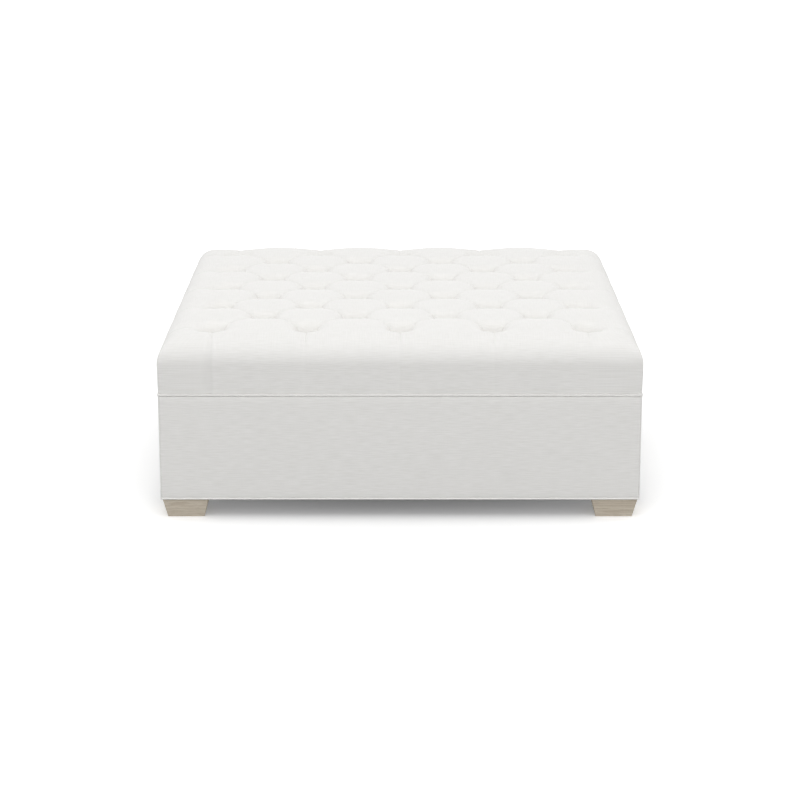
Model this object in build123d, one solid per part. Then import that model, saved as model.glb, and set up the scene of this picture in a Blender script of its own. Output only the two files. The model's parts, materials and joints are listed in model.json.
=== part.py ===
from build123d import *
import os

# Square ottoman coffee table with a diamond-tufted top, piping and four block feet.
# Lengths are in millimetres. The origin is on the floor under the middle, +Z is up, the front faces -Y.

# Whole ottoman
side = 1067.0
foot_height = 44.0
base_height = 240.0
top_height = 134.0
cloth_corner_radius = 6.0

# Feet
foot_top_side = 103.5
foot_bottom_side = 82.0
foot_setback = 0.3
foot_edge_radius = 2.5

# Hanger bolts, from the feet into the corner blocks
bolt_diameter = 8.0
bolt_in_foot = 30.0
bolt_in_block = 26.0
bolt_clearance = 0.1

# Cloth, padding and liner of the base
fabric_thickness = 1.2
wadding_thickness = 6.0
liner_thickness = 3.0
dust_cover_thickness = 0.8
dust_cover_inset = 16.0

# Piping: a cord in a folded strip of cloth, whose tape is held between the layers
piping_tape_thickness = 1.6
piping_tape_width = 22.0
seam_piping_diameter = 5.0
seam_piping_proud = 2.0
hem_piping_diameter = 4.5
hem_piping_proud = 1.0

# Timber frame
board_thickness = 22.0
bottom_rail_height = 70.0
top_rail_height = 60.0
mid_post_width = 60.0
corner_post_side = 45.0
corner_block_side = 110.0
corner_block_cut = 50.0
corner_block_thickness = 35.0
bearer_height = 60.0

# Deck and foam
deck_thickness = 18.0
foam_bevel_share = 0.4

# Tufts: a square set with a second set in its gaps
tufts_per_side = 5
tuft_margin = 117.4
tuft_depth = 37.0
tuft_floor_radius = 4.0
tuft_throat_radius = 26.0
tuft_bowl_radius = 60.0
tuft_bowl_depth = 14.0
tuft_backing = 4.0
tuft_facets = 8

# Folds between the tufts and pleats from the outer tufts to the seam
fold_half_width = 46.0
fold_depth = 10.0
pleat_half_width = 7.5
pleat_depth_share = 0.65

# Crown, rounded shoulder and drawn-in skirt of the top
crown_drop = 5.0
shoulder_radius = 62.0
skirt_tuck = 1.0

# Tufting twine and the toggles that hold it under the deck
twine_radius = 1.5
twine_clearance = 0.2
twine_facets = 6
deck_hole_radius = 4.0
toggle_length = 26.0
toggle_width = 8.0
toggle_thickness = 5.0

# Overrun of every cutting shape
overrun = 20.0

# Heights worked out from the stack of layers
seam_height = foot_height + base_height
crest_height = seam_height + top_height
dust_cover_top = foot_height + dust_cover_thickness
frame_bottom = dust_cover_top + piping_tape_thickness
frame_top = seam_height - piping_tape_thickness / 2
deck_bottom = seam_height + piping_tape_thickness / 2
deck_top = deck_bottom + deck_thickness
foam_top = crest_height - tuft_depth - tuft_backing
foam_bevel = foam_bevel_share * (foam_top - deck_top)
hem_height = dust_cover_top + piping_tape_thickness / 2
panel_bottom = hem_height + hem_piping_diameter / 2
panel_top = seam_height - seam_piping_diameter / 2
skirt_bottom = seam_height + seam_piping_diameter / 2

# Distances from the middle to the faces of each layer
half_side = side / 2
wadding_face = half_side - fabric_thickness
liner_face = wadding_face - wadding_thickness
rail_face = liner_face - liner_thickness
rail_back = rail_face - board_thickness
deck_face = rail_face
skirt_face = half_side - skirt_tuck
pleat_depth = pleat_depth_share * (skirt_face - deck_face)
hem_piping_inside = half_side + hem_piping_proud - hem_piping_diameter
foot_centre = hem_piping_inside - foot_setback - foot_top_side / 2

# Tuft lattice
tuft_reach = half_side - tuft_margin
tuft_pitch = 2 * tuft_reach / (tufts_per_side - 1)
tuft_step = tuft_pitch / 2

# Names of the four sides and four corners, in order round the middle
side_names = ["front", "right", "back", "left"]
corner_names = ["front_right", "back_right", "back_left", "front_left"]


def quarter_turned(shape, quarters):
    return shape.rotate(Axis.Z, 90 * quarters)


def square_plan(half):
    """Plan of one layer of the ottoman. Its corners are rounded as far as the layer lies inside the cloth."""
    radius = cloth_corner_radius - (half_side - half)
    if radius > 0:
        return RectangleRounded(2 * half, 2 * half, radius)
    return Rectangle(2 * half, 2 * half)


def upright(plan, bottom, top):
    return Pos(0, 0, bottom) * extrude(plan, amount=top - bottom)


def front_panel(outer_half, inner_half, bottom, top):
    """The front quarter of a layer, cut on the mitre at both corners, where the seams run."""
    mitre = make_face(Polyline((0, 0), (side, -side), (-side, -side), close=True))
    return upright((square_plan(outer_half) - square_plan(inner_half)) & mitre, bottom, top)


def tuft_places():
    places = []
    steps = 2 * tufts_per_side - 1
    for column in range(steps):
        for row in range(steps):
            if (column + row) % 2 == 0:
                places.append((column * tuft_step - tuft_reach, row * tuft_step - tuft_reach))
    return places


def foot():
    """Squat block that tapers down to its floor face, drilled from above for its bolt."""
    low = foot_bottom_side / 2
    high = foot_top_side / 2
    outline = Polyline((-low, 0), (low, 0), (high, foot_height), (-high, foot_height), close=True)
    wedge = extrude(Plane.XZ * make_face(outline), amount=foot_top_side, both=True)
    block = wedge & quarter_turned(wedge, 1)
    level_edges = block.edges().filter_by(Plane.XY)
    block = fillet(block.edges() - level_edges, foot_edge_radius)
    drill = Circle(bolt_diameter / 2 + bolt_clearance)
    return block - upright(drill, foot_height - bolt_in_foot, foot_height + overrun)


def foot_places():
    return [(foot_centre, -foot_centre), (foot_centre, foot_centre),
            (-foot_centre, foot_centre), (-foot_centre, -foot_centre)]


def hanger_bolt():
    return upright(Circle(bolt_diameter / 2), foot_height - bolt_in_foot, frame_bottom + bolt_in_block)


def corner_block():
    """Block glued in the bottom corner of the frame, with its free corner cut off."""
    outer = rail_back - foot_centre
    inner = outer - corner_block_side
    cut = inner + corner_block_cut
    outline = Polyline((outer, outer), (inner, outer), (inner, cut), (cut, inner), (outer, inner), close=True)
    plan = make_face(outline) - Circle(bolt_diameter / 2 + bolt_clearance)
    return upright(plan, frame_bottom, frame_bottom + corner_block_thickness)


def corner_post():
    centre = rail_back - corner_post_side / 2
    plan = Pos(centre, centre) * Rectangle(corner_post_side, corner_post_side)
    return upright(plan, frame_bottom + corner_block_thickness, deck_bottom)


def rail(length, bottom, top):
    """A front rail. The front and back ones run past the ends of the side ones."""
    plan = Pos(0, -rail_face + board_thickness / 2) * Rectangle(length, board_thickness)
    return upright(plan, bottom, top)


def mid_post():
    plan = Pos(0, -rail_face + board_thickness / 2) * Rectangle(mid_post_width, board_thickness)
    return upright(plan, frame_bottom + bottom_rail_height, frame_top - top_rail_height)


def bearer(offset):
    """Board on edge under the deck, between two rows of tufts, from the front top rail to the back one."""
    plan = Pos(offset, 0) * Rectangle(board_thickness, 2 * rail_back)
    return upright(plan, deck_bottom - bearer_height, deck_bottom)


def bottom_stretcher():
    plan = Rectangle(2 * rail_back, board_thickness)
    return upright(plan, frame_bottom, frame_bottom + bottom_rail_height)


def dust_cover():
    """Thin cloth under the frame, held between the feet and the frame, slit for each bolt."""
    half = half_side - dust_cover_inset
    plan = Rectangle(2 * half, 2 * half)
    slit = bolt_diameter + 2 * bolt_clearance
    for x, y in foot_places():
        plan -= Pos(x, y) * Rectangle(slit, slit)
    return upright(plan, foot_height, dust_cover_top)


def piping(height, diameter, proud):
    """Round cord along the edge, with the flat tape that is caught between the layers behind it.

    A short flat that touches the cloth's own rounding takes the cord round each corner.
    """
    reach = half_side + proud - diameter / 2
    radius = cloth_corner_radius + proud - diameter / 2
    corner = reach - radius * (2 - 2**0.5)
    points = [(0, -reach), (corner, -reach), (reach, -corner), (reach, corner), (corner, reach),
              (-corner, reach), (-reach, corner), (-reach, -corner), (-corner, -reach)]
    outline = Polyline(*points, close=True)
    line = Pos(0, 0, height) * outline
    section = Plane(origin=line @ 0, z_dir=line % 0) * Circle(diameter / 2)
    cord = sweep(section, path=line, transition=Transition.RIGHT)
    inner = reach - piping_tape_width
    tape = make_face(outline) - Rectangle(2 * inner, 2 * inner)
    half_tape = piping_tape_thickness / 2
    return cord + upright(tape, height - half_tape, height + half_tape)


def deck():
    """Plywood under the foam, drilled under every tuft."""
    plan = Rectangle(2 * deck_face, 2 * deck_face)
    holes = [Pos(x, y) * RegularPolygon(deck_hole_radius, tuft_facets) for x, y in tuft_places()]
    return upright(plan - holes, deck_bottom, deck_top)


def foam_block():
    """Slab of foam with its upper edges bevelled to follow the shoulder."""
    block = upright(Rectangle(2 * deck_face, 2 * deck_face), deck_top, foam_top)
    return chamfer(block.faces().sort_by(Axis.Z)[-1].edges(), foam_bevel)


def foam():
    channel = RegularPolygon(twine_radius + twine_clearance, twine_facets)
    holes = Sketch() + [Pos(x, y) * channel for x, y in tuft_places()]
    return foam_block() - upright(holes, deck_top - overrun, foam_top + overrun)


def twines():
    twine = upright(RegularPolygon(twine_radius, twine_facets), deck_bottom, foam_top)
    return Compound(children=[Pos(x, y) * twine for x, y in tuft_places()])


def toggles():
    toggle = upright(Rectangle(toggle_length, toggle_width), deck_bottom - toggle_thickness, deck_bottom)
    return Compound(children=[Pos(x, y) * toggle for x, y in tuft_places()])


def shoulder_points():
    """Corners of the profile from the outer row of tufts to the seam, before its shoulder is rounded."""
    shoulder = (half_side + skirt_tuck, crest_height - crown_drop)
    return [(tuft_reach, crest_height), shoulder, (skirt_face, skirt_bottom)]


def top_block():
    """The top before it is tufted: two crowned profiles crossed, so that the shoulders meet on the mitre."""
    right = FilletPolyline((0, crest_height), *shoulder_points(), radius=shoulder_radius)
    left = mirror(right, about=Plane.YZ)
    base = Line((-skirt_face, skirt_bottom), (skirt_face, skirt_bottom))
    profile = Plane.XZ * make_face([*right.edges(), *left.edges(), base])
    band = extrude(profile, amount=half_side + overrun, both=True)
    return band & quarter_turned(band, 1) & upright(square_plan(half_side), 0, crest_height + overrun)


def fold_cutters():
    """Straight folds along both diagonals of the lattice. Both banks of a fold are arcs that bulge up."""
    half = fold_half_width
    bank = (half**2 + fold_depth**2) / (2 * fold_depth)
    left = RadiusArc((-half, 0), (0, -fold_depth), bank)
    right = RadiusArc((0, -fold_depth), (half, 0), bank)
    lid = Polyline((half, 0), (half, overrun), (-half, overrun), (-half, 0))
    section = make_face([left, right, *lid.edges()])
    cutters = []
    last = tufts_per_side - 2
    for line in range(-last, last + 1):
        near = max(line, 0) * tuft_pitch
        far = max(-line, 0) * tuft_pitch
        start = Vector(near - tuft_reach, far - tuft_reach, crest_height)
        end = Vector(tuft_reach - far, tuft_reach - near, crest_height)
        way = end - start
        across = Vector(0, 0, 1).cross(way)
        placed = Plane(origin=start, x_dir=across, z_dir=way) * section
        cutter = extrude(placed, amount=way.length)
        cutters += [cutter, mirror(cutter, about=Plane.YZ)]
    return cutters


def tuft_cutters():
    """A shallow bowl at every tuft with a steep throat in its middle, both with tuft_facets sides."""
    rim = crest_height
    neck = crest_height - tuft_bowl_depth
    floor = crest_height - tuft_depth
    right = [(tuft_bowl_radius, rim + overrun), (tuft_bowl_radius, rim), (tuft_throat_radius, neck),
             (tuft_floor_radius, floor)]
    left = [(-x, z) for x, z in reversed(right)]
    section = Plane.XZ * make_face(Polyline(*right, *left, close=True))
    prism = extrude(section, amount=2 * tuft_bowl_radius, both=True)
    cutter = prism
    for turn in range(1, tuft_facets // 2):
        cutter &= prism.rotate(Axis.Z, 360 / tuft_facets * turn)
    return [Pos(x, y) * cutter for x, y in tuft_places()]


def pleat_cutters():
    """A pinched line from each outer tuft over the shoulder and down to the seam."""
    path = (Plane.XZ * FilletPolyline(*shoulder_points(), radius=shoulder_radius)).wire()
    start = Plane(origin=path @ 0, x_dir=(0, 1, 0), z_dir=path % 0)
    half = pleat_half_width
    notch = Polyline((0, -pleat_depth), (half, 0), (half, overrun), (-half, overrun), (-half, 0), close=True)
    pleat = sweep(start * make_face(notch), path=path)
    cutters = []
    for quarters in range(4):
        for number in range(tufts_per_side):
            placed = Pos(0, number * tuft_pitch - tuft_reach) * pleat
            cutters.append(quarter_turned(placed, quarters))
    return cutters


def tufted_cover():
    """Cloth with its wadding: crowned and tufted outside, fitted to the deck and foam inside."""
    deck_room = upright(Rectangle(2 * deck_face, 2 * deck_face), 0, deck_top)
    return top_block() - fold_cutters() - tuft_cutters() - pleat_cutters() - deck_room - foam_block()


parts = {}

for name, (x, y) in zip(corner_names, foot_places()):
    parts["foot_" + name] = Pos(x, y) * foot()

for quarters, name in enumerate(corner_names):
    block = Pos(foot_centre, foot_centre) * corner_block()
    parts["corner_block_" + name] = quarter_turned(block, quarters - 1)
    parts["corner_post_" + name] = quarter_turned(corner_post(), quarters - 1)

for quarters, name in enumerate(side_names):
    length = 2 * rail_face if name in ("front", "back") else 2 * rail_back
    bottom_rail = rail(length, frame_bottom, frame_bottom + bottom_rail_height)
    top_rail = rail(length, frame_top - top_rail_height, frame_top)
    liner = front_panel(liner_face, rail_face, frame_bottom, frame_top)
    wadding = front_panel(wadding_face, liner_face, panel_bottom, panel_top)
    cover = front_panel(half_side, wadding_face, panel_bottom, panel_top)
    parts["bottom_rail_" + name] = quarter_turned(bottom_rail, quarters)
    parts["top_rail_" + name] = quarter_turned(top_rail, quarters)
    parts["mid_post_" + name] = quarter_turned(mid_post(), quarters)
    parts["liner_board_" + name] = quarter_turned(liner, quarters)
    parts["base_wadding_" + name] = quarter_turned(wadding, quarters)
    parts["base_cover_" + name] = quarter_turned(cover, quarters)

parts["hanger_bolts"] = Compound(children=[Pos(x, y) * hanger_bolt() for x, y in foot_places()])
parts["deck_bearer_left"] = bearer(-tuft_step - tuft_step / 2)
parts["deck_bearer_right"] = bearer(tuft_step + tuft_step / 2)
parts["bottom_stretcher"] = bottom_stretcher()
parts["dust_cover"] = dust_cover()
parts["hem_piping"] = piping(hem_height, hem_piping_diameter, hem_piping_proud)
parts["seam_piping"] = piping(seam_height, seam_piping_diameter, seam_piping_proud)
parts["deck"] = deck()
parts["foam_core"] = foam()
parts["tufting_twines"] = twines()
parts["tuft_toggles"] = toggles()
parts["tufted_cover"] = tufted_cover()

os.makedirs("parts", exist_ok=True)
for name, shape in parts.items():
    export_step(shape, f"parts/{name}.step")
print(len(parts), "parts written")
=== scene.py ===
import json
import math

import bmesh
import bpy
from mathutils import Matrix, Vector
from mathutils.kdtree import KDTree


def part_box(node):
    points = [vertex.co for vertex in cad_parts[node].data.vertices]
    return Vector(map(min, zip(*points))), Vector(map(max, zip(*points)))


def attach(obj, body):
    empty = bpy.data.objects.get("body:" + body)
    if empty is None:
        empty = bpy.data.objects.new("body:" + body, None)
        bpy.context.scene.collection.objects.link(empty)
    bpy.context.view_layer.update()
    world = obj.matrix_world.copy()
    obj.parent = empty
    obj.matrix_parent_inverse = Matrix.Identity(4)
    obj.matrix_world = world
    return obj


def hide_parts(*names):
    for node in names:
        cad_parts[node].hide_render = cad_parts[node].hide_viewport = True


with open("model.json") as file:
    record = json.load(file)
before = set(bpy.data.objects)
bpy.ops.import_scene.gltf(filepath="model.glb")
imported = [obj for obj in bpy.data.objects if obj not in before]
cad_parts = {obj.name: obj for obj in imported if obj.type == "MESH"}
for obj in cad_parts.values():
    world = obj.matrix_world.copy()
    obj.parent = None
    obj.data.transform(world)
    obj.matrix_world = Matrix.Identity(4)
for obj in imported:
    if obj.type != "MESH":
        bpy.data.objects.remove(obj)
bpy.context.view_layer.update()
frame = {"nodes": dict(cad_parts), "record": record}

# Square ottoman coffee table: its looks, in metres, round the frame of its solids.
# The front faces -Y and the floor is at z = 0.

MM = 0.001

# Places taken from the solids
top_low, top_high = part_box("tufted_cover")
base_low, base_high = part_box("base_cover_front")
foam_low, foam_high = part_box("foam_core")
_, twine_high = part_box("tufting_twines")
dust_low, dust_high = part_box("dust_cover")
liner_low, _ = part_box("liner_board_front")
foot_low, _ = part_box("foot_back_right")

# Whole ottoman. Half of a side's straight stretch reaches from its middle to the rounding of a corner.
SIDES = ("front", "right", "back", "left")
HALF_SIDE = -base_low.y
CREST = top_high.z
SKIRT_BOTTOM = top_low.z
CLOTH_CORNER_RADIUS = 6 * MM
STRAIGHT_HALF = HALF_SIDE - CLOTH_CORNER_RADIUS
FABRIC_THICKNESS = 1.2 * MM
SHARP_ANGLE = math.radians(50)


def smooth_step(low, high, value):
    """Rises smoothly from 0 at low to 1 at high."""
    share = min(max((value - low) / (high - low), 0), 1)
    return share * share * (3 - 2 * share)


def mix(low, high, share):
    return low + (high - low) * share


# Materials


def linear(colour):
    """An sRGB hex colour as linear red, green, blue and alpha."""
    channels = [int(colour[place:place + 2], 16) / 255 for place in (1, 3, 5)]
    return [c / 12.92 if c <= 0.04045 else ((c + 0.055) / 1.055) ** 2.4 for c in channels] + [1]


def add(tree, kind, inputs=None, **settings):
    """A new node with its settings. An input's value is a plain value or another node's output."""
    node = tree.nodes.new(kind)
    for name, value in settings.items():
        setattr(node, name, value)
    for socket, value in (inputs or {}).items():
        if isinstance(value, bpy.types.NodeSocket):
            tree.links.new(value, node.inputs[socket])
        else:
            node.inputs[socket].default_value = value
    return node


def new_material(name):
    """An empty material, with its nodes and its output."""
    material = bpy.data.materials.new(name)
    material.use_nodes = True
    tree = material.node_tree
    tree.nodes.clear()
    output = add(tree, "ShaderNodeOutputMaterial")
    return material, tree, output


def finish_material(tree, output, colour, roughness, height, depth, **shader):
    """A surface shader with its colour, its roughness and the relief of height, depth metres deep."""
    bump = add(tree, "ShaderNodeBump", {"Height": height, "Distance": depth, "Strength": 1.0})
    inputs = {"Base Color": colour, "Roughness": roughness, "Normal": bump.outputs[0]}
    inputs.update({name.replace("_", " "): value for name, value in shader.items()})
    surface = add(tree, "ShaderNodeBsdfPrincipled", inputs)
    tree.links.new(surface.outputs[0], output.inputs["Surface"])


def stretched_noise(tree, place, sizes, detail=2.0):
    """Noise whose grains have these sizes along X, Y and Z, in metres."""
    per_metre = [1 / size for size in sizes]
    scaled = add(tree, "ShaderNodeVectorMath", {0: place, 1: per_metre}, operation="MULTIPLY").outputs[0]
    return add(tree, "ShaderNodeTexNoise", {"Vector": scaled, "Scale": 1.0, "Detail": detail}).outputs[0]


def blend_colours(tree, share, low, high):
    """Goes from low to high with share. Each is a hex colour or another node's output."""
    low, high = [linear(colour) if isinstance(colour, str) else colour for colour in (low, high)]
    return add(tree, "ShaderNodeMix", {0: share, 6: low, 7: high}, data_type="RGBA").outputs[2]


def blend_values(tree, share, low, high):
    """Goes from low to high with share. Each is a number or another node's output."""
    return add(tree, "ShaderNodeMix", {0: share, 2: low, 3: high}).outputs[0]


def remapped(tree, value, low, high, to_low=0.0, to_high=1.0):
    """Stretches a value's range to another one, and stops it at the ends."""
    inputs = {"Value": value, "From Min": low, "From Max": high, "To Min": to_low, "To Max": to_high}
    return add(tree, "ShaderNodeMapRange", inputs).outputs[0]


def combined(tree, operation, first, second):
    return add(tree, "ShaderNodeMath", {0: first, 1: second}, operation=operation).outputs[0]


# Most of a noise texture's values lie in this range
NOISE_RANGE = (0.35, 0.65)

# Linen cloth. Its threads are about 0.8 mm apart, too fine to show, so the weave is drawn at twice that.
THREAD_PITCH = 1.6 * MM
THREAD_WAVER = 1.2
THREAD_WAVER_SCALE = 0.3

# Waves to a metre of a wave texture at scale 1
WAVES_PER_UNIT = 20 / (2 * math.pi)

# Thick stretches of its yarn, and wide paler patches. Cloth is flat, so the third size has no effect.
SLUB_SIZES = (32 * MM, 2.2 * MM, 1)
PATCH_SIZES = (90 * MM, 60 * MM, 1)
SLUB_RANGE = (0.36, 0.64)
PATCH_SHARE = 0.25

# Slubs of the weft show more than those of the warp where the cloth hangs. The range is of its normal's Z.
HANGING_TO_LEVEL = (0.3, 0.9)
HANGING_WEFT_SHARE = 0.88
LEVEL_WEFT_SHARE = 0.5

# Painted shade where the tufts, folds and pleats draw the cloth in, its relief and how matt its dark and pale
# threads are
DRAWN_IN_PAINTED_SHADE_POWER = 0.6
DRAWN_IN_PAINTED_SHADE = 0.16
WEAVE_RELIEF_SHARE = 0.12
LINEN_RELIEF = 0.25 * MM
LINEN_ROUGHNESS = (0.92, 0.82)


def woven_linen():
    """Off-white linen blend, plain woven with slubbed yarn: matt, with fine thicker threads along the weft.

    Where the tufts, folds and pleats draw the cloth in, its colour is darkened with painted shade, deepest at
    the tufts.
    """
    material, tree, output = new_material("linen_plain_woven_slubbed")
    cloth = add(tree, "ShaderNodeUVMap", uv_map="cloth").outputs[0]
    turned = add(tree, "ShaderNodeMapping", {"Vector": cloth, "Rotation": (0, 0, math.pi / 2)}).outputs[0]
    normal = add(tree, "ShaderNodeNewGeometry").outputs["Normal"]
    upward = add(tree, "ShaderNodeSeparateXYZ", {0: normal}).outputs[2]
    weft_share = remapped(tree, upward, *HANGING_TO_LEVEL, HANGING_WEFT_SHARE, LEVEL_WEFT_SHARE)
    weft_slubs = stretched_noise(tree, cloth, SLUB_SIZES, detail=3.0)
    warp_slubs = stretched_noise(tree, turned, SLUB_SIZES, detail=3.0)
    slubs = blend_values(tree, weft_share, warp_slubs, weft_slubs)
    patches = combined(tree, "MULTIPLY", stretched_noise(tree, cloth, PATCH_SIZES), PATCH_SHARE)
    tone = combined(tree, "MULTIPLY", remapped(tree, slubs, *SLUB_RANGE), 1 - PATCH_SHARE)
    tone = combined(tree, "ADD", tone, patches)
    plain = blend_colours(tree, tone, "#EBEAE7", "#F5F4F2")
    # Painted shade: the colour goes towards a grey as far as the cloth is drawn in, standing in for the shade
    # in the dents.
    drawn_in = add(tree, "ShaderNodeAttribute", attribute_name="drawn_in").outputs["Fac"]
    shade = combined(tree, "MULTIPLY", combined(tree, "POWER", drawn_in, DRAWN_IN_PAINTED_SHADE_POWER), DRAWN_IN_PAINTED_SHADE)
    colour = blend_colours(tree, shade, plain, "#D3D0CA")
    waves = {"Vector": cloth, "Scale": 1 / (THREAD_PITCH * WAVES_PER_UNIT), "Distortion": THREAD_WAVER,
             "Detail": 1.0, "Detail Scale": THREAD_WAVER_SCALE}
    threads = [add(tree, "ShaderNodeTexWave", waves, bands_direction=way).outputs[1] for way in "XY"]
    weave = combined(tree, "MULTIPLY", *threads)
    height = combined(tree, "ADD", combined(tree, "MULTIPLY", weave, WEAVE_RELIEF_SHARE), slubs)
    roughness = remapped(tree, tone, 0, 1, *LINEN_ROUGHNESS)
    finish_material(tree, output, colour, roughness, height, LINEN_RELIEF, Sheen_Weight=0.12,
                    Sheen_Roughness=0.5)
    return material


# Oak of the feet: growth rings that wander, and open pores, both along the block's width
RING_SIZES = (400 * MM, 5 * MM, 4 * MM)
WANDER_SIZES = (120 * MM, 30 * MM, 30 * MM)
WANDER_Y = 30 * MM
WANDER_Z = 22 * MM
RING_ROUGHNESS_RANGE = (0.3, 0.7)
PORE_SIZES = (14 * MM, 0.9 * MM, 0.9 * MM)
PORE_RANGE = (0.56, 0.68)
PORE_DARKNESS = 0.4
OAK_RELIEF = 0.3 * MM
OAK_ROUGHNESS = (0.62, 0.5)


def limed_oak():
    """Oak, planed and limewashed: pale grey-brown, with dark pores and grain along the block's width."""
    material, tree, output = new_material("oak_planed_limewashed")
    place = add(tree, "ShaderNodeTexCoord").outputs["Object"]
    wander = stretched_noise(tree, place, WANDER_SIZES)
    shift = add(tree, "ShaderNodeCombineXYZ", {1: combined(tree, "MULTIPLY", wander, WANDER_Y),
                                               2: combined(tree, "MULTIPLY", wander, WANDER_Z)}).outputs[0]
    bent = add(tree, "ShaderNodeVectorMath", {0: place, 1: shift}, operation="ADD").outputs[0]
    rings = stretched_noise(tree, bent, RING_SIZES, detail=3.0)
    pores = stretched_noise(tree, place, PORE_SIZES)
    pore_share = combined(tree, "MULTIPLY", remapped(tree, pores, *PORE_RANGE), PORE_DARKNESS)
    grain = blend_colours(tree, remapped(tree, rings, *NOISE_RANGE), "#CCC0AE", "#E2D8C8")
    colour = blend_colours(tree, pore_share, grain, "#A89A83")
    roughness = remapped(tree, rings, *RING_ROUGHNESS_RANGE, *OAK_ROUGHNESS)
    height = combined(tree, "SUBTRACT", rings, pore_share)
    finish_material(tree, output, colour, roughness, height, OAK_RELIEF)
    return material


# How much less rough the light grain of a hidden piece is than its dark grain
LIGHT_GRAIN_GLOSS = 0.12


def plain_finish(name, dark, light, sizes, roughness, depth, **shader):
    """A hidden piece's finish: two tones that follow its grain, with a slight relief."""
    material, tree, output = new_material(name)
    place = add(tree, "ShaderNodeTexCoord").outputs["Object"]
    grain = stretched_noise(tree, place, sizes, detail=3.0)
    share = remapped(tree, grain, *NOISE_RANGE)
    colour = blend_colours(tree, share, dark, light)
    rough = remapped(tree, share, 0, 1, roughness, roughness - LIGHT_GRAIN_GLOSS)
    finish_material(tree, output, colour, rough, grain, depth, **shader)
    return material


slot_materials = {
    "linen_cloth": woven_linen(),
    "oak": limed_oak(),
    # Sawn pine: pale yellow with soft streaks along the board
    "frame_timber": plain_finish("pine_sawn", "#C9A877", "#E2C999", sizes=(160 * MM, 5 * MM, 5 * MM),
                                 roughness=0.75, depth=0.3 * MM),
    # Birch plywood, sanded: thin level plies show at the edges
    "plywood": plain_finish("birch_plywood_sanded", "#C6AB80", "#E3CFA8", sizes=(90 * MM, 14 * MM, 1.5 * MM),
                            roughness=0.65, depth=0.1 * MM),
    # Grey board, pressed from pulp: flat and fibrous
    "liner_board": plain_finish("grey_board_pressed", "#8E877B", "#A49D90", sizes=(3 * MM, 3 * MM, 3 * MM),
                                roughness=0.9, depth=0.1 * MM),
    # Polyester wadding, carded: white loose fibre
    "wadding": plain_finish("polyester_wadding_carded", "#E6E6E3", "#F5F5F3", sizes=(9 * MM, 9 * MM, 3 * MM),
                            roughness=0.97, depth=0.8 * MM),
    # Polyurethane foam, cut: cream with small open cells
    "foam": plain_finish("polyurethane_foam_cut", "#DED2A6", "#F0E6C4", sizes=(2 * MM, 2 * MM, 2 * MM),
                         roughness=0.95, depth=0.4 * MM),
    # Waxed nylon twine, twisted: off-white
    "twine": plain_finish("nylon_twine_twisted", "#CFC8B6", "#E6E0D0", sizes=(2 * MM, 2 * MM, 1 * MM),
                          roughness=0.6, depth=0.2 * MM),
    # Spunbond polypropylene: charcoal felt with a fine random fibre
    "dust_cloth": plain_finish("polypropylene_spunbond", "#26262A", "#37373B", sizes=(4 * MM, 4 * MM, 4 * MM),
                               roughness=0.9, depth=0.15 * MM),
    # Zinc-plated steel, turned: bright grey with a slight blue
    "zinc_steel": plain_finish("steel_zinc_plated", "#A9ADB2", "#C9CDD2", sizes=(1 * MM, 1 * MM, 8 * MM),
                               roughness=0.42, depth=0.02 * MM, Metallic=1.0),
}


# Small helpers for the meshes


def wear(piece, material):
    """Gives a piece its one material."""
    piece.data.materials.clear()
    piece.data.materials.append(material)


def new_piece(name, mesh, slot, *nodes):
    """Makes the bmesh a piece of the ottoman that stands for those solids."""
    data = bpy.data.meshes.new(name)
    for face in mesh.faces:
        face.smooth = True
    mesh.to_mesh(data)
    mesh.free()
    piece = bpy.data.objects.new(name, data)
    bpy.context.scene.collection.objects.link(piece)
    wear(piece, slot_materials[slot])
    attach(piece, "root")
    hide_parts(*nodes)
    return piece


def verts_in(geometry):
    return [part for part in geometry if isinstance(part, bmesh.types.BMVert)]


def edges_in(geometry):
    return [part for part in geometry if isinstance(part, bmesh.types.BMEdge)]


def pull(mesh, edges, way):
    """Extrudes the edges, moves the new ones and gives them back."""
    pulled = bmesh.ops.extrude_edge_only(mesh, edges=edges)["geom"]
    bmesh.ops.translate(mesh, verts=verts_in(pulled), vec=way)
    return edges_in(pulled)


def sharpen(mesh):
    """Keeps the edges crisp where the mesh turns sharply."""
    for edge in mesh.edges:
        if edge.calc_face_angle(0) > SHARP_ANGLE:
            edge.smooth = False


# Tufted top: a flat square net of cloth, drawn over the shoulder and down to the seam

# Tuft lattice: five tufts a side, with four by four in its gaps. Tufts in line are two of its steps apart.
# Pleats start at the outer tufts and are counted from the middle of each side.
TUFTS_PER_SIDE = 5
LATTICE_STEPS = TUFTS_PER_SIDE - 1
LAST_PLEAT = LATTICE_STEPS // 2
TWINE_RADIUS = 1.5 * MM
TUFT_REACH = twine_high.x - TWINE_RADIUS
TUFT_STEP = TUFT_REACH / LATTICE_STEPS
TUFT_SPACING = 2 * TUFT_STEP
DIAMOND_SIDE = math.sqrt(2) * TUFT_STEP

# Dents of the tufts. Their banks fall in an arc, then in a steep straight line, and level out at the tuft.
TUFT_DEPTH = 36 * MM
STEEP_DEPTH = 20 * MM
BANK_RADIUS = 30 * MM
BANK_ANGLE = math.radians(66)
DENT_HALF_WIDTH = 54 * MM
DENT_SQUARENESS = 3.2
OUTER_DENT_HALF_WIDTH = 44 * MM
OUTER_DENT_SQUARENESS = 1.4

# Diagonal folds from tuft to tuft
FOLD_HALF_WIDTH = 15 * MM
FOLD_TAPER = 1.8

# Pleats, whose banks are steeper than a fold's by that factor. Their lengths, as the border's, are measured
# along the cloth from the outer tufts.
PLEAT_HALF_WIDTH = 5 * MM
PLEAT_STEEPNESS = 2.2
PLEAT_TAPER_LENGTH = 60 * MM
PLEAT_FADE = (90 * MM, 140 * MM)
FAINT_PLEAT_SHARE = 0.25

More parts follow.
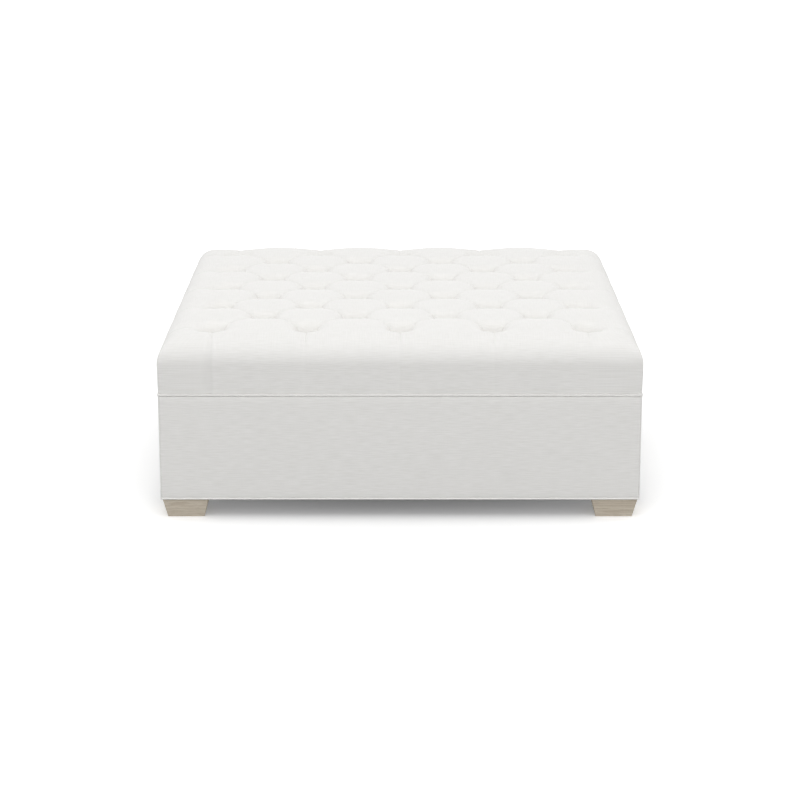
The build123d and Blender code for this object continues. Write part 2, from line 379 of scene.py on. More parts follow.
# Border's dip towards its pleats: it starts at the outer tufts, widens, fades on the shoulder and ends
# where the seam holds the cloth.
BORDER_DIP = 12 * MM
BORDER_DIP_REACH = 130 * MM
BORDER_DIP_POWER = 1.5
BORDER_DIP_START = 30 * MM
BORDER_DIP_SPREAD = 75 * MM
BORDER_DIP_FADE = (70 * MM, 125 * MM)
SKIRT_DIP = 0.7 * MM
SEAM_HOLD = 14 * MM

# Shoulder, and the skirt that hangs from it to the seam and rolls in over the piping. The shoulder's level
# and upright lines meet a little outside the side, and an arc rounds them off.
SHOULDER_RADIUS = 64 * MM
SHOULDER_SWELL = 2 * MM
CROWN_DROP = 1.5 * MM
CORNER_DROP = 5 * MM
CORNER_POWERS = (3, 36)
CORNER_CROWDING = 2.2
SKIRT_TUCK = 0.4 * MM
SKIRT_ROLL = 14 * MM
SKIRT_ROLL_DEPTH = 1.2 * MM

# Hollow inside, clear of the foam and its bevel
FOAM_CLEARANCE = 0.6 * MM
FOAM_BEVEL_SHARE = 0.4

# Fineness of the net. A coarse cell, for the simulation, is a few fine ones wide.
COARSE_CELL = 3
CELLS_PER_STEP = 8 * COARSE_CELL
CORNER_CELLS = 4 * COARSE_CELL
ROW_HEIGHT = 5.2 * MM
CROWDING_SHARE = 0.35
CUT_TOLERANCE = 1e-4

# Filling that swells the cushions in a cloth simulation. The hold on the cloth grows from none to full
# between two shares of its way down the skirt, and of a dent's depth.
FILLING_PRESSURE = 4
SWELL_FRAMES = 20
SWELL_LIMIT = 3 * MM
FOLLOW_REACH = 2 * COARSE_CELL
HELD_SKIRT_SHARES = (0.3, 0.65)
HELD_DIP_SHARES = (0.05, 0.6)


def shoulder_profile():
    """Outer profile of the border: a nearly level line, an arc and a nearly upright line."""
    start = Vector((TUFT_REACH, CREST))
    corner = Vector((HALF_SIDE + SHOULDER_SWELL, CREST - CROWN_DROP))
    end = Vector((HALF_SIDE - SKIRT_TUCK, SKIRT_BOTTOM))
    out = (corner - start).normalized()
    down = (end - corner).normalized()
    turn = out.angle(down)
    tangent = SHOULDER_RADIUS * math.tan(turn / 2)
    arc_start = corner - out * tangent
    arc_end = corner + down * tangent
    centre = arc_start + Vector((out.y, -out.x)) * SHOULDER_RADIUS
    return arc_start, arc_end, centre, out, down, turn, end


arc_start, arc_end, arc_centre, way_out, way_down, shoulder_turn, skirt_end = shoulder_profile()
GRID_HALF = arc_start.x
ARC_LENGTH = SHOULDER_RADIUS * shoulder_turn
SKIRT_LENGTH = (skirt_end - arc_end).length
SIDE_LENGTH = ARC_LENGTH + SKIRT_LENGTH
SEAM_DISTANCE = GRID_HALF - TUFT_REACH + ARC_LENGTH + SKIRT_LENGTH
ROWS = COARSE_CELL * round(SIDE_LENGTH / ROW_HEIGHT / COARSE_CELL)
LATTICE_CELLS = LATTICE_STEPS * CELLS_PER_STEP
HALF_CELLS = LATTICE_CELLS + CORNER_CELLS


def profile_point(length):
    """Place and outward direction on the shoulder and skirt, that length beyond the grid's edge."""
    if length < ARC_LENGTH:
        outward = Matrix.Rotation(-length / SHOULDER_RADIUS, 2) @ Vector((-way_out.y, way_out.x))
        return arc_centre + outward * SHOULDER_RADIUS, outward
    return arc_end + way_down * (length - ARC_LENGTH), Vector((-way_down.y, way_down.x))


def column_place(column):
    """Distance of a grid line from the middle.

    The lines that cross at a tuft pass right through it, and their neighbours crowd towards them.
    """
    count = abs(column)
    if count <= LATTICE_CELLS:
        steps = count / CELLS_PER_STEP
        place = (steps - CROWDING_SHARE * math.sin(2 * math.pi * steps) / (2 * math.pi)) * TUFT_STEP
    else:
        place = mix(TUFT_REACH, GRID_HALF, (count - LATTICE_CELLS) / CORNER_CELLS)
    return math.copysign(place, column)


def bank(inward):
    """Depth of a bank at a distance in from its upper edge."""
    arc_width = BANK_RADIUS * math.sin(BANK_ANGLE)
    on_arc = min(max(inward, 0), arc_width)
    depth = BANK_RADIUS - math.sqrt(BANK_RADIUS ** 2 - on_arc ** 2)
    depth += max(inward - arc_width, 0) * math.tan(BANK_ANGLE)
    easing = TUFT_DEPTH - STEEP_DEPTH
    return min(depth, TUFT_DEPTH - easing * math.exp(-max(depth - STEEP_DEPTH, 0) / easing))


def dent_half_width(line):
    """Half width of the dents along one line of tufts. Those of the outer lines are narrower."""
    return OUTER_DENT_HALF_WIDTH if abs(line) == LATTICE_STEPS else DENT_HALF_WIDTH


def tuft_inward(x, y):
    """How far a place on the net lies in from the edge of the nearest tuft's dent.

    A dent is a rounded square. The outer half of a dent at the border is more of a point, towards its pleat.
    """
    deepest = 0
    squareness = OUTER_DENT_SQUARENESS if max(abs(x), abs(y)) > TUFT_REACH else DENT_SQUARENESS
    column, row = math.floor(x / TUFT_STEP), math.floor(y / TUFT_STEP)
    for tuft_column in (column, column + 1):
        for tuft_row in (row, row + 1):
            inside = max(abs(tuft_column), abs(tuft_row)) <= LATTICE_STEPS
            if inside and (tuft_column + tuft_row) % 2 == 0:
                across = abs(x - tuft_column * TUFT_STEP) / dent_half_width(tuft_row)
                along = abs(y - tuft_row * TUFT_STEP) / dent_half_width(tuft_column)
                distance = (across ** squareness + along ** squareness) ** (1 / squareness)
                deepest = max(deepest, (1 - distance) * DENT_HALF_WIDTH)
    return deepest


def groove_half_width(narrow, past_tuft, wide=DENT_HALF_WIDTH):
    """Half width of a fold or pleat: wide where past_tuft is 0, at the tuft, and narrow from 1 on."""
    return narrow + (wide - narrow) * max(1 - past_tuft, 0) ** FOLD_TAPER


def fold_inward(along, across):
    """How far a place lies in from the edge of the nearest fold. The place is in sides of the diamonds.

    Folds run across, at each whole place along, and each passes a tuft at each whole place across.
    """
    deepest = 0
    for line in (math.floor(along), math.floor(along) + 1):
        if abs(line) <= LATTICE_STEPS:
            past_end = max(abs(across) - (LATTICE_STEPS - abs(line)), 0)
            distance = math.hypot(along - line, past_end) * DIAMOND_SIDE
            past_tuft = 0 if past_end else 2 * abs(across - round(across))
            deepest = max(deepest, groove_half_width(FOLD_HALF_WIDTH, past_tuft) - distance)
    return deepest


def nearest_pleat(along):
    """Number of the pleat that is nearest to a place along a side, and the distance to it."""
    number = min(max(round(along / TUFT_SPACING), -LAST_PLEAT), LAST_PLEAT)
    return number, abs(along - number * TUFT_SPACING)


def border_dip(along, outward):
    """Dip of the border towards its pleats, at a place along it and a distance out from the outer tufts."""
    _, distance = nearest_pleat(along)
    start = smooth_step(0, BORDER_DIP_START, outward)
    seam = smooth_step(0, SEAM_HOLD, SEAM_DISTANCE - outward)
    top_dip = BORDER_DIP * math.exp(-max(outward, 0) / BORDER_DIP_REACH)
    depth = mix(top_dip, SKIRT_DIP, smooth_step(*BORDER_DIP_FADE, outward))
    half_width = mix(DENT_HALF_WIDTH, TUFT_STEP, smooth_step(0, BORDER_DIP_SPREAD, outward))
    return start * seam * depth * max(1 - distance / half_width, 0) ** BORDER_DIP_POWER


def pleat_inward(along, outward):
    """How far a place beyond the outer tufts lies in from the edge of the nearest pleat.

    Pleats fade below the shoulder, but the first one of each side is pressed in as far as the seam.
    """
    if outward <= 0:
        return 0
    number, distance = nearest_pleat(along)
    low_share = FAINT_PLEAT_SHARE if number > -LAST_PLEAT else 1
    share = mix(1, low_share, smooth_step(*PLEAT_FADE, outward))
    crease = (PLEAT_HALF_WIDTH - distance) * PLEAT_STEEPNESS * share
    dent = groove_half_width(0, outward / PLEAT_TAPER_LENGTH, OUTER_DENT_HALF_WIDTH) - distance
    return max(crease, dent)


def drawn_depth(x, y):
    """How deep the tufts, folds and pleats draw the cloth in, at a place on the net."""
    along, across = (x + y) / TUFT_SPACING, (x - y) / TUFT_SPACING
    inward = max(tuft_inward(x, y), fold_inward(along, across), fold_inward(across, along),
                 pleat_inward(x, abs(y) - TUFT_REACH), pleat_inward(y, abs(x) - TUFT_REACH))
    return bank(inward)


def dip_at(x, y):
    """Depth of the cloth under its smooth outer form, at a place on the net."""
    border = border_dip(x, abs(y) - TUFT_REACH) + border_dip(y, abs(x) - TUFT_REACH)
    return min(drawn_depth(x, y) + border, TUFT_DEPTH)


def past_tufts(distance):
    """0 at the outer tufts and 1 where the shoulder's two lines meet."""
    return min(max(distance - TUFT_REACH, 0) / (HALF_SIDE + SHOULDER_SWELL - TUFT_REACH), 1)


def corner_drop(x, y):
    """How far the border falls towards a corner, at a place on the net."""
    return CORNER_DROP * past_tufts(abs(x)) * past_tufts(abs(y))


def grid_vertex(x, y):
    """Place of a vertex on the level middle of the net."""
    crown = CROWN_DROP * max(past_tufts(abs(x)), past_tufts(abs(y)))
    return Vector((x, y, CREST - crown - corner_drop(x, y) - dip_at(x, y)))


def row_outline(place, swing, turn):
    """Where a vertex lies along its row, from the middle of a side, and how far out the row is there.

    A row is a square with round corners, which get sharper as turn goes from 0, at the grid, to 1, on the
    skirt. Swing is how far the row stands out beyond the grid.
    """
    power = mix(*CORNER_POWERS, turn ** 2)
    if place > TUFT_REACH:
        to_corner = 1 - (place - TUFT_REACH) / (GRID_HALF - TUFT_REACH)
        corner_share = 1 - to_corner ** mix(1, CORNER_CROWDING, turn)
        place = mix(TUFT_REACH, GRID_HALF + swing * 2 ** (-1 / power), corner_share)
    past = max(place - GRID_HALF, 0)
    return place, GRID_HALF + max(swing ** power - past ** power, 0) ** (1 / power)


def ring_vertex(x, y, row):
    """Place of a vertex on the shoulder or skirt."""
    length = row * SIDE_LENGTH / ROWS
    (half, height), outward = profile_point(length)
    front = abs(y) >= abs(x)
    along, side = (x, y) if front else (y, x)
    place, out = row_outline(abs(along), half - GRID_HALF, min(length / ARC_LENGTH, 1))
    depth = dip_at(math.copysign(place, along), math.copysign(GRID_HALF + length, side))
    depth += SKIRT_ROLL_DEPTH * (1 - smooth_step(0, SKIRT_ROLL, SIDE_LENGTH - length))
    sideways = Vector((max(place - GRID_HALF, 0), out - GRID_HALF)).normalized()
    height -= corner_drop(place, GRID_HALF + length) * outward.y
    height -= depth * outward.y
    place = math.copysign(place - depth * outward.x * sideways.x, along)
    out = math.copysign(out - depth * outward.x * sideways.y, side)
    return Vector((place, out, height) if front else (out, place, height))


def net_of_top(cell=1):
    """Flat grid with its rim pulled down in rows. Its coordinates are counts of columns and rows.

    Cells that a fold passes through are cut along it.
    """
    net = bmesh.new()
    segments = 2 * HALF_CELLS // cell
    bmesh.ops.create_grid(net, x_segments=segments, y_segments=segments, size=HALF_CELLS)
    for line in range(-LATTICE_STEPS, LATTICE_STEPS + 1):
        for direction in (1, -1):
            inside = [f for f in net.faces if max(map(abs, f.calc_center_median())) < LATTICE_CELLS]
            around = {part for f in inside for part in (f, *f.edges, *f.verts)}
            bmesh.ops.bisect_plane(net, geom=list(around), dist=CUT_TOLERANCE,
                                   plane_co=(2 * line * CELLS_PER_STEP, 0, 0), plane_no=(1, direction, 0))
    rim = [edge for edge in net.edges if edge.is_boundary]
    for _ in range(ROWS // cell):
        rim = pull(net, rim, (0, 0, -cell))
    bmesh.ops.recalc_face_normals(net, faces=net.faces)
    return net


def place_on_top(flat):
    """Place on the top's form of a vertex of the flat net."""
    x, y, row = column_place(flat.x), column_place(flat.y), round(-flat.z)
    return ring_vertex(x, y, row) if row else grid_vertex(x, y)


def drawn_share(flat):
    """How far a vertex of the flat net is drawn in, from 0, not at all, to 1, at a tuft."""
    x, y, out = column_place(flat.x), column_place(flat.y), -flat.z * SIDE_LENGTH / ROWS
    if abs(x) > abs(y):
        x += math.copysign(out, x)
    else:
        y += math.copysign(out, y)
    return drawn_depth(x, y) / TUFT_DEPTH


def hold_at(flat):
    """How firmly the twines and the seam hold a vertex of the flat net, from 0, free, to 1, fixed."""
    x, y, row = column_place(flat.x), column_place(flat.y), round(-flat.z)
    if row:
        return smooth_step(*HELD_SKIRT_SHARES, row / ROWS)
    return smooth_step(*HELD_DIP_SHARES, dip_at(x, y) / TUFT_DEPTH)


def swollen_net():
    """Presses the filling against a coarse net of cloth. Gives each vertex's flat place and its way."""
    net = net_of_top(COARSE_CELL)
    flat = [vertex.co.copy() for vertex in net.verts]
    for vertex in net.verts:
        vertex.co = place_on_top(vertex.co)
    start = [vertex.co.copy() for vertex in net.verts]
    data = bpy.data.meshes.new("pressed_cloth")
    net.to_mesh(data)
    net.free()
    cloth = bpy.data.objects.new("pressed_cloth", data)
    bpy.context.scene.collection.objects.link(cloth)
    held = cloth.vertex_groups.new(name="held")
    for index, place in enumerate(flat):
        held.add([index], hold_at(place), "REPLACE")
    modifier = cloth.modifiers.new("filling", "CLOTH")
    modifier.settings.vertex_group_mass = held.name
    modifier.settings.use_pressure = True
    modifier.settings.uniform_pressure_force = FILLING_PRESSURE
    modifier.settings.effector_weights.gravity = 0
    for frame_number in range(1, SWELL_FRAMES + 1):
        bpy.context.scene.frame_set(frame_number)
    swollen = cloth.evaluated_get(bpy.context.evaluated_depsgraph_get()).data
    ways = [swollen.vertices[index].co - place for index, place in enumerate(start)]
    bpy.data.objects.remove(cloth)
    bpy.data.meshes.remove(data)
    bpy.context.scene.frame_set(1)
    return flat, ways


def follow_swollen_net(net, flat):
    """Moves the fine net as the vertices of the coarse one near each place did, up to a limit."""
    coarse_flat, ways = swollen_net()
    near = KDTree(len(coarse_flat))
    for index, place in enumerate(coarse_flat):
        near.insert(place, index)
    near.balance()
    for vertex, place in zip(net.verts, flat):
        found = near.find_range(place, FOLLOW_REACH)
        shares = [(1 - distance / FOLLOW_REACH) ** 2 for _, _, distance in found]
        moved = sum((ways[index] * share for (_, index, _), share in zip(found, shares)), Vector())
        way = moved / sum(shares)
        if way.length > SWELL_LIMIT:
            way *= SWELL_LIMIT / way.length
        vertex.co += way


def lay_out_cloth(net):
    """Cloth coordinates in metres: along the weft, and across it over the shoulder to the seam.

    The weft runs along X on the level middle, and level round all four sides.
    """
    layer = net.loops.layers.uv.new("cloth")
    for face in net.faces:
        centre = face.calc_center_median()
        for loop in face.loops:
            x, y = column_place(loop.vert.co.x), column_place(loop.vert.co.y)
            out = -loop.vert.co.z * SIDE_LENGTH / ROWS
            if centre.z == 0 or abs(centre.y) >= abs(centre.x):
                loop[layer].uv = (x, y + math.copysign(out, centre.y))
            else:
                loop[layer].uv = (y, x + math.copysign(out, centre.x))


def close_top(net):
    """Turns the lower edge in and lines the inside, clear of the deck and the foam."""
    rim = [edge for edge in net.edges if edge.is_boundary]
    room = foam_high.x + FOAM_CLEARANCE
    ceiling = foam_high.z + FOAM_CLEARANCE
    bevel = FOAM_BEVEL_SHARE * (foam_high.z - foam_low.z)
    for half, height in ((room, SKIRT_BOTTOM), (room, ceiling - bevel), (room - bevel, ceiling)):
        rim = pull(net, rim, (0, 0, 0))
        for vertex in {v for edge in rim for v in edge.verts}:
            reach = max(abs(vertex.co.x), abs(vertex.co.y))
            vertex.co = Vector((vertex.co.x * half / reach, vertex.co.y * half / reach, height))
    bmesh.ops.contextual_create(net, geom=rim)
    bmesh.ops.recalc_face_normals(net, faces=net.faces)


def tufted_top():
    """The whole top cushion: drawn-in cloth over its filling, with a hollow for the foam and the deck."""
    net = net_of_top()
    lay_out_cloth(net)
    # How far each vertex is drawn in. The linen reads it to paint shade into the dents.
    drawn_in = net.verts.layers.float.new("drawn_in")
    flat = [vertex.co.copy() for vertex in net.verts]
    for vertex, place in zip(net.verts, flat):
        vertex[drawn_in] = drawn_share(place)
        vertex.co = place_on_top(place)
    follow_swollen_net(net, flat)
    close_top(net)
    sharpen(net)
    piece = new_piece("tufted_top", net, "linen_cloth", "tufted_cover")


# Base: four panels of cloth, sewn together at the corners, over wadding that is pinched thin along its edges

PANEL_HEIGHT = base_high.z - base_low.z
PANEL_CELL = 12 * MM
PANEL_CROWN = 0.9 * MM
CORNER_TURNS = 6
WADDING_CLEARANCE = 0.2 * MM

# Upper and lower edge, drawn in by the seams of the piping, and the corner seams
UPPER_TUCK = 1.8 * MM
LOWER_TUCK = 0.9 * MM
EDGE_ROLL = 3.5 * MM
EDGE_ROWS_SHARES = (0.2, 0.5, 1)
SEAM_TUCK = 0.7 * MM
SEAM_ROLL = 3 * MM


def straight_line(mesh, half, y, z):
    """Line of edges parallel to the front, with its two end points."""
    cells = round(2 * half / PANEL_CELL)
    first = mesh.verts.new((-half, y, z))
    last = first
    for _ in range(cells):
        last = bmesh.ops.extrude_vert_indiv(mesh, verts=[last])["verts"][0]
        last.co.x += 2 * half / cells
    return first, last


def panel_outline(panel):
    """Line of edges along the front and half way round both corners, at the panel's lower edge."""
    first, last = straight_line(panel, STRAIGHT_HALF, -HALF_SIDE, base_low.z)
    for end, sign in ((first, -1), (last, 1)):
        corner = (sign * STRAIGHT_HALF, -STRAIGHT_HALF, base_low.z)
        bmesh.ops.spin(panel, geom=[end], cent=corner, axis=(0, 0, 1), angle=sign * math.pi / 4,
                       steps=CORNER_TURNS)
    return list(panel.edges)


def panel_rows():
    """Heights of the panel's rows over its lower edge, closer together where its edges roll in."""
    rolls = [EDGE_ROLL * share for share in EDGE_ROWS_SHARES]
    steps = round((PANEL_HEIGHT - 2 * EDGE_ROLL) / PANEL_CELL)
    middle = [mix(EDGE_ROLL, PANEL_HEIGHT - EDGE_ROLL, step / steps) for step in range(1, steps)]
    return rolls + middle + [PANEL_HEIGHT - roll for roll in reversed(rolls)] + [PANEL_HEIGHT]


def shape_panel(vertex):
    """Crowns the panel a little and draws it in along its edges and corner seams."""
    x, y, z = vertex.co
    past = Vector((math.copysign(max(abs(x) - STRAIGHT_HALF, 0), x), y + STRAIGHT_HALF, 0))
    tuck = UPPER_TUCK * (1 - smooth_step(0, EDGE_ROLL, base_high.z - z)) ** 2
    tuck += LOWER_TUCK * (1 - smooth_step(0, EDGE_ROLL, z - base_low.z)) ** 2
    to_seam = (abs(y) - abs(x)) / math.sqrt(2)
    tuck += SEAM_TUCK * (1 - smooth_step(0, SEAM_ROLL, to_seam))
    crown = PANEL_CROWN * (1 - (x / HALF_SIDE) ** 4) * math.sin(math.pi * (z - base_low.z) / PANEL_HEIGHT)
    vertex.co += past.normalized() * (crown - tuck)


def raise_rows(mesh, edges):
    """Raises the edges in the panel's rows, with the faces towards the front."""
    below = 0
    for row in panel_rows():
        edges = pull(mesh, edges, (0, 0, row - below))
        below = row
    bmesh.ops.recalc_face_normals(mesh, faces=mesh.faces)
    middle = min(mesh.faces, key=lambda face: abs(face.calc_center_median().x))
    if middle.normal.y > 0:
        bmesh.ops.reverse_faces(mesh, faces=mesh.faces)


def front_wadding():
    """Wadding behind the front panel: flat on its liner board, with its face just under the cloth."""
    wadding = bmesh.new()
    straight_line(wadding, STRAIGHT_HALF, -HALF_SIDE, base_low.z)
    raise_rows(wadding, list(wadding.edges))
    for vertex in wadding.verts:
        shape_panel(vertex)
    bmesh.ops.translate(wadding, verts=wadding.verts, vec=(0, FABRIC_THICKNESS + WADDING_CLEARANCE, 0))
    back = verts_in(bmesh.ops.extrude_face_region(wadding, geom=wadding.faces)["geom"])
    for vertex in back:
        vertex.co.y = liner_low.y - WADDING_CLEARANCE
    bmesh.ops.recalc_face_normals(wadding, faces=wadding.faces)
    sharpen(wadding)
    return wadding


def front_panel():
    """The front panel, from one corner seam to the other."""
    panel = bmesh.new()
    raise_rows(panel, panel_outline(panel))
    layer = panel.loops.layers.uv.new("cloth")
    for loop in (loop for face in panel.faces for loop in face.loops):
        loop[layer].uv = (loop.vert.co.x, loop.vert.co.z)
    for vertex in panel.verts:
        shape_panel(vertex)
    bmesh.ops.solidify(panel, geom=panel.faces, thickness=FABRIC_THICKNESS)
    sharpen(panel)
    return panel


def base_sides():
    """The front's panel and wadding, turned to each side."""
    for quarters, side in enumerate(SIDES):
        turn = Matrix.Rotation(quarters * math.pi / 2, 3, "Z")
        wadding, panel = front_wadding(), front_panel()
        bmesh.ops.rotate(wadding, verts=wadding.verts, matrix=turn)
        bmesh.ops.rotate(panel, verts=panel.verts, matrix=turn)
        pad = new_piece(f"base_pad_{side}", wadding, "wadding", f"base_wadding_{side}")
        cover = new_piece(f"base_panel_{side}", panel, "linen_cloth", f"base_cover_{side}")


# Piping: a cord in a strip of the same cloth, cut on the bias, with its tape between the layers.
# A cord hangs a little below the middle of its tape.

CORD_SIDES = 14
CORD_TURNS = 8
TAPE_WIDTH = 22 * MM
TAPE_THICKNESS = 1.6 * MM
SEAM_CORD_DROP = 0.45 * MM
HEM_CORD_DROP = 0.2 * MM
WELD_DISTANCE = 0.05 * MM


def quarter_cord(cord, radius, reach, height):
    """Draws the cord from the middle of the front round a corner to the middle of the right side."""
    ring = bmesh.ops.create_circle(cord, segments=CORD_SIDES, radius=radius)["verts"]
    bmesh.ops.rotate(cord, verts=ring, matrix=Matrix.Rotation(math.pi / 2, 3, "Y"))
    bmesh.ops.translate(cord, verts=ring, vec=(0, -reach, height))
    edges = list(cord.edges)
    cells = round(STRAIGHT_HALF / PANEL_CELL)
    for _ in range(cells):
        edges = pull(cord, edges, (STRAIGHT_HALF / cells, 0, 0))
    corner = (STRAIGHT_HALF, -STRAIGHT_HALF, height)
    spun = bmesh.ops.spin(cord, geom=edges, cent=corner, axis=(0, 0, 1), angle=math.pi / 2, steps=CORD_TURNS)
    edges = edges_in(spun["geom_last"])
    for _ in range(cells):
        edges = pull(cord, edges, (0, STRAIGHT_HALF / cells, 0))


def add_tape(cord, reach, height):
    """Flat tape behind the cord: a square frame that is open in its middle."""
    plate = bmesh.ops.create_grid(cord, x_segments=1, y_segments=1, size=reach)["verts"]
    bmesh.ops.translate(cord, verts=plate, vec=(0, 0, height - TAPE_THICKNESS / 2))
    face = plate[0].link_faces[0]
    inset = bmesh.ops.inset_region(cord, faces=[face], thickness=TAPE_WIDTH, use_boundary=True)
    bmesh.ops.delete(cord, geom=[face], context="FACES")
    bmesh.ops.solidify(cord, geom=inset["faces"], thickness=-TAPE_THICKNESS)


def lay_out_bias(cord, radius, reach, height):
    """Cloth coordinates in metres, along and round the cord, turned by half a right angle as on the bias."""
    layer = cord.loops.layers.uv.new("cloth")
    for face in cord.faces:
        centre = face.calc_center_median()
        for loop in face.loops:
            x, y, z = loop.vert.co
            along, out = (x, abs(y)) if abs(centre.y) > abs(centre.x) else (y, abs(x))
            around = math.atan2(z - height, out - reach) * radius
            loop[layer].uv = Vector((along + around, along - around)) * math.sqrt(0.5)


def piping(node, drop):
    """The whole of a piping: a quarter of its cord, three turned copies, and its tape."""
    low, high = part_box(node)
    radius = (high.z - low.z) / 2
    height = low.z + radius - drop
    reach = high.x - radius
    cord = bmesh.new()
    quarter_cord(cord, radius, reach, height)
    quarter = [*cord.verts, *cord.edges, *cord.faces]
    for turn in (1, 2, 3):
        copy = bmesh.ops.duplicate(cord, geom=quarter)["geom"]
        bmesh.ops.rotate(cord, verts=verts_in(copy), matrix=Matrix.Rotation(turn * math.pi / 2, 3, "Z"))
    bmesh.ops.remove_doubles(cord, verts=cord.verts, dist=WELD_DISTANCE)
    add_tape(cord, reach, height + drop)
    lay_out_bias(cord, radius, reach, height)
    bmesh.ops.recalc_face_normals(cord, faces=cord.faces)
    new_piece(f"{node}_cord", cord, "linen_cloth", node)


# Dust cover: thin felt, stapled under the rails and held by the feet, which sags a little between them

DUST_CELL = 12 * MM
DUST_SAG = 5 * MM
DUST_SAG_REACH = 200 * MM
FOOT_HOLD_REACH = 100 * MM
STAPLED_RIM = 36 * MM
STAPLE_SPACING = 70 * MM
STAPLE_PULL = 0.7 * MM


def dust_sag(x, y):
    """Sag of the dust cover at a place: none at the feet, and little folds between the staples of its rim."""
    half = dust_high.x
    in_x, in_y = half - STAPLED_RIM - abs(x), half - STAPLED_RIM - abs(y)
    past_foot = max(foot_low.x - abs(x), foot_low.x - abs(y))
    sag = DUST_SAG * smooth_step(0, DUST_SAG_REACH, in_x) * smooth_step(0, DUST_SAG_REACH, in_y)
    inwards, along = (in_x, y) if in_x < in_y else (in_y, x)
    folds = STAPLE_PULL * math.sin(math.pi * along / STAPLE_SPACING) ** 2
    folds *= smooth_step(-STAPLED_RIM, 0, inwards) * (1 - smooth_step(0, STAPLE_SPACING, inwards))
    return (sag + folds) * smooth_step(0, FOOT_HOLD_REACH, past_foot)


def dust_sheet():
    """The dust cover under the rails, as one sheet."""
    half = dust_high.x
    cells = round(2 * half / DUST_CELL)
    sheet = bmesh.new()
    bmesh.ops.create_grid(sheet, x_segments=cells, y_segments=cells, size=half)
    for vertex in sheet.verts:
        vertex.co.z = dust_low.z - dust_sag(vertex.co.x, vertex.co.y)
    bmesh.ops.solidify(sheet, geom=sheet.faces, thickness=dust_low.z - dust_high.z)
    bmesh.ops.recalc_face_normals(sheet, faces=sheet.faces)
    sharpen(sheet)
    piece = new_piece("under_cloth", sheet, "dust_cloth", "dust_cover")


tufted_top()
base_sides()
piping("seam_piping", SEAM_CORD_DROP)
piping("hem_piping", HEM_CORD_DROP)
dust_sheet()

# Materials of the solids that stay
for row in frame["record"]["subparts"]:
    wear(frame["nodes"][row["node"]], slot_materials[row["material_slot"]])


# Studio

# Camera, fitted to the photograph
CAMERA_PLACE = (0, -5.371, 1.5576)
CAMERA_PITCH_DEGREES = 14.87
LENS_MM = 102.34
SENSOR_MM = 36

# Floor, in metres. Its own glow is weak under the ottoman, so that the shadow stays, and strong further away.
FLOOR_HALF = 40
FLOOR_GLOW_DISTANCES = (0.4, 2.5)
FLOOR_GLOWS = (0.13, 0.7)

# World. Its brightness goes from the horizon's to the zenith's, and is less towards +X and -X. The ranges
# are of a direction's Z and X.
HORIZON_SHARE = 1.68
ZENITH_SHARE = 0.6
HORIZON_TO_ZENITH = (0.3, 0.7)
SIDE_SHARE = 0.72
AHEAD_TO_SIDE = (0.55, 0.8)

# Soft boxes, in metres. A share is what a box adds to a white surface that faces it, 1 being white.
KEY_PLACE = (0, 0, 4.4)
KEY_SIZE = 3.0
KEY_SHARE = 0.085
FRONT_PLACE = (0, -3.5, 5.2)
FRONT_SIZE = 2.4
FRONT_SHARE = 0.125


def seen_directly(tree):
    """1 for what the eye sees, also in a gloss or through glass, and 0 for light on its way to the object."""
    path = add(tree, "ShaderNodeLightPath")
    seen = combined(tree, "MAXIMUM", path.outputs["Is Camera Ray"], path.outputs["Is Glossy Ray"])
    return combined(tree, "MAXIMUM", seen, path.outputs["Is Transmission Ray"])


def studio_floor():
    """Matt white paint, rolled: it renders white where nothing shades it, and keeps the soft shadow.

    It throws less light back at the ottoman than it shows, so that the sides keep their tone.
    """
    material, tree, output = new_material("floor_matt_paint")
    seen = seen_directly(tree)
    place = add(tree, "ShaderNodeTexCoord").outputs["Object"]
    away = add(tree, "ShaderNodeVectorMath", {0: place}, operation="LENGTH").outputs["Value"]
    colour = blend_colours(tree, seen, "#7E7E7D", "#FFFFFF")
    matt = add(tree, "ShaderNodeBsdfDiffuse", {"Color": colour})
    lift = combined(tree, "MULTIPLY", seen, remapped(tree, away, *FLOOR_GLOW_DISTANCES, *FLOOR_GLOWS))
    glow = add(tree, "ShaderNodeEmission", {"Color": linear("#FFFFFF"), "Strength": lift})
    both = add(tree, "ShaderNodeAddShader", {0: matt.outputs[0], 1: glow.outputs[0]})
    tree.links.new(both.outputs[0], output.inputs["Surface"])
    sheet = bmesh.new()
    bmesh.ops.create_grid(sheet, x_segments=1, y_segments=1, size=FLOOR_HALF)
    data = bpy.data.meshes.new("floor")
    sheet.to_mesh(data)
    sheet.free()
    floor = bpy.data.objects.new("floor", data)
    bpy.context.scene.collection.objects.link(floor)
    wear(floor, material)


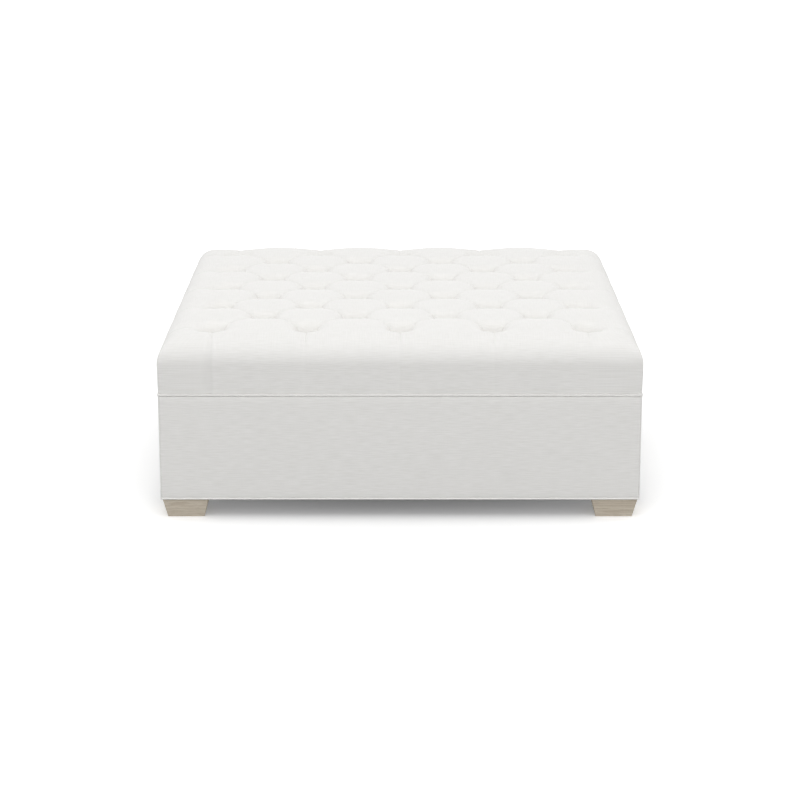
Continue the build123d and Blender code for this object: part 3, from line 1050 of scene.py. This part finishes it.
def studio_world():
    """White studio walls all round, which are brighter than the ceiling."""
    world = bpy.data.worlds.new("studio")
    bpy.context.scene.world = world
    world.use_nodes = True
    tree = world.node_tree
    tree.nodes.clear()
    direction = add(tree, "ShaderNodeTexCoord").outputs["Generated"]
    towards = add(tree, "ShaderNodeSeparateXYZ", {0: direction}).outputs
    walls = remapped(tree, towards[2], *HORIZON_TO_ZENITH, HORIZON_SHARE, ZENITH_SHARE)
    sideways = combined(tree, "ABSOLUTE", towards[0], 0.0)
    share = combined(tree, "MULTIPLY", walls, remapped(tree, sideways, *AHEAD_TO_SIDE, 1.0, SIDE_SHARE))
    strength = blend_values(tree, seen_directly(tree), share, 1.0)
    light = add(tree, "ShaderNodeBackground", {"Color": linear("#FFFFFF"), "Strength": strength})
    output = add(tree, "ShaderNodeOutputWorld")
    tree.links.new(light.outputs[0], output.inputs["Surface"])


def soft_box(name, place, target, size, share):
    """Square soft box that faces its target. Share is what it adds to a white surface there."""
    place, target = Vector(place), Vector(target)
    light = bpy.data.lights.new(name, "AREA")
    light.shape = "SQUARE"
    light.size = size
    light.energy = share * math.pi ** 2 * (target - place).length_squared
    lamp = bpy.data.objects.new(name, light)
    lamp.location = place
    lamp.rotation_euler = (target - place).to_track_quat("-Z", "Y").to_euler()
    bpy.context.scene.collection.objects.link(lamp)


def photo_camera():
    """Camera that looks along +Y and down at the ottoman."""
    data = bpy.data.cameras.new("camera")
    data.lens = LENS_MM
    data.sensor_width = SENSOR_MM
    camera = bpy.data.objects.new("camera", data)
    camera.location = CAMERA_PLACE
    camera.rotation_euler = (math.radians(90 - CAMERA_PITCH_DEGREES), 0, 0)
    bpy.context.scene.collection.objects.link(camera)
    bpy.context.scene.camera = camera


studio_floor()
studio_world()
soft_box("key_light", KEY_PLACE, (0, 0, CREST), KEY_SIZE, KEY_SHARE)
soft_box("front_light", FRONT_PLACE, (0, 0, CREST / 2), FRONT_SIZE, FRONT_SHARE)
photo_camera()
bpy.context.scene.view_settings.view_transform = "Standard"
